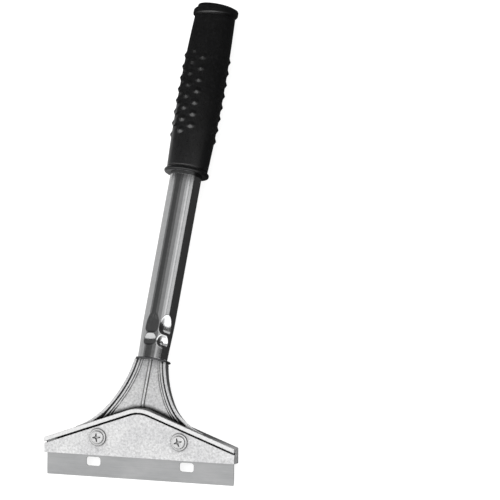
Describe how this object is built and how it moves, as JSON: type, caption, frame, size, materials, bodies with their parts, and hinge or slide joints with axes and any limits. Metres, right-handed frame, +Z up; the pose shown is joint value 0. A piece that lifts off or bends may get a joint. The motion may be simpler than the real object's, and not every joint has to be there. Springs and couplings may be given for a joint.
{
  "type": "floor scraper",
  "caption": "Hand floor scraper: a wide replaceable blade clamped in a cast head by a screwed plate, on a steel tube with a bumpy rubber grip.",
  "frame": {"origin": "middle of the bounding box, at its bottom: the surface that the tool lies on, on its back", "axes": "+Z up, +Y from the cutting edge towards the end of the grip, +X along the cutting edge, to the right seen from the grip looking down on the screws' side"},
  "size_m": [0.1018, 0.2522, 0.0234],
  "materials": {
    "cast_aluminium": "fine sand-cast texture, bare",
    "blade_steel": "ground satin",
    "screw_steel": "bright zinc plating",
    "tube_chrome": "bright chrome plating",
    "grip_rubber": "semi-gloss soft rubber"
  },
  "bodies": {
    "head": {"head_casting": "cast_aluminium", "tube": "tube_chrome", "grip": "grip_rubber"},
    "clamp": {"clamp_plate": "cast_aluminium", "washer_left": "screw_steel", "washer_right": "screw_steel"},
    "screw_left": {"screw_left": "screw_steel"},
    "screw_right": {"screw_right": "screw_steel"},
    "blade": {"blade": "blade_steel"}
  },
  "joints": [
    {"name": "clamp_lift", "type": "slide", "parent": "head", "child": "clamp", "axis": [0, -0.4226, 0.9063], "range_m": [0, 0.0014]},
    {"name": "screw_left_turn", "type": "hinge", "parent": "clamp", "child": "screw_left", "pos_m": [-0.0218, -0.10879, 0.01087], "axis": [0, -0.4226, 0.9063], "range_deg": [0, 720]},
    {"name": "screw_right_turn", "type": "hinge", "parent": "clamp", "child": "screw_right", "pos_m": [0.0218, -0.10879, 0.01087], "axis": [0, -0.4226, 0.9063], "range_deg": [0, 720]},
    {"name": "blade_slide", "type": "slide", "parent": "head", "child": "blade", "axis": [0, -0.9063, -0.4226], "range_m": [0, 0.012]}
  ],
  "couplings": [
    {"joint": "screw_left_turn", "follows": "clamp_lift", "rad_per_m": 8976},
    {"joint": "screw_right_turn", "follows": "clamp_lift", "rad_per_m": 8976}
  ]
}
